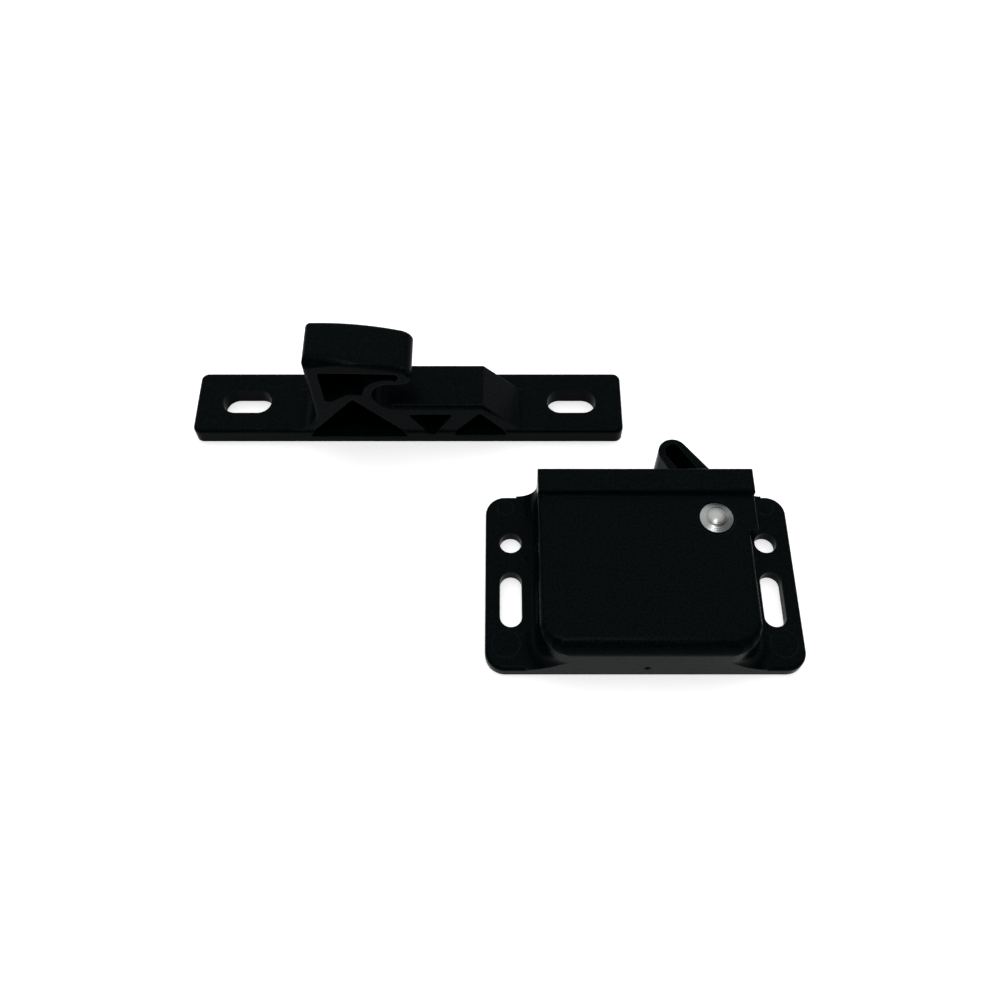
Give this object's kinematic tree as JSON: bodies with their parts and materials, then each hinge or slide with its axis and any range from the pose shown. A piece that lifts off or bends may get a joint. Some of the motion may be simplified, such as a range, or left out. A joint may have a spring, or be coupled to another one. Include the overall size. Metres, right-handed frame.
{
  "type": "door catch",
  "caption": "Grabber door catch: a flanged moulded case with a spring-loaded forked arm that snaps shut on the hook of a long screw-on keeper.",
  "frame": {"origin": "middle of the catch's back face, on the surface that it is screwed to", "axes": "+Z out of the back face towards the case's top, +Y out of the mouth where the arm shows, +X to the right with the mouth facing away"},
  "size_m": [0.113, 0.0619, 0.0251],
  "materials": {
    "case_plastic": "black glass-filled moulding with a fine matt texture",
    "arm_plastic": "black moulding, smooth satin",
    "keeper_plastic": "black glass-filled moulding with a fine matt texture",
    "guide_plastic": "dark moulding",
    "plate_steel": "plain sheet",
    "rivet_metal": "satin, domed head",
    "spring_wire": "drawn wire"
  },
  "bodies": {
    "case": {"housing": "case_plastic", "back_plate": "plate_steel", "pivot_rivet": "rivet_metal", "keeper": "keeper_plastic"},
    "arm": {"grabber_arm": "arm_plastic"},
    "guide": {"spring_guide": "guide_plastic", "toggle_spring": "spring_wire"}
  },
  "joints": [
    {"name": "arm_pivot", "type": "hinge", "parent": "case", "child": "arm", "pos_m": [0.01275, 0.0076, 0.0056], "axis": [0, 0, 1], "range_deg": [0, 57]},
    {"name": "guide_pivot", "type": "hinge", "parent": "arm", "child": "guide", "pos_m": [0.00622, 0.00507, 0.0056], "axis": [0, 0, 1], "range_deg": [-78, 0], "deforming": ["toggle_spring"]}
  ],
  "couplings": [
    {"joint": "guide_pivot", "follows": "arm_pivot", "ratio": -1.3644}
  ]
}
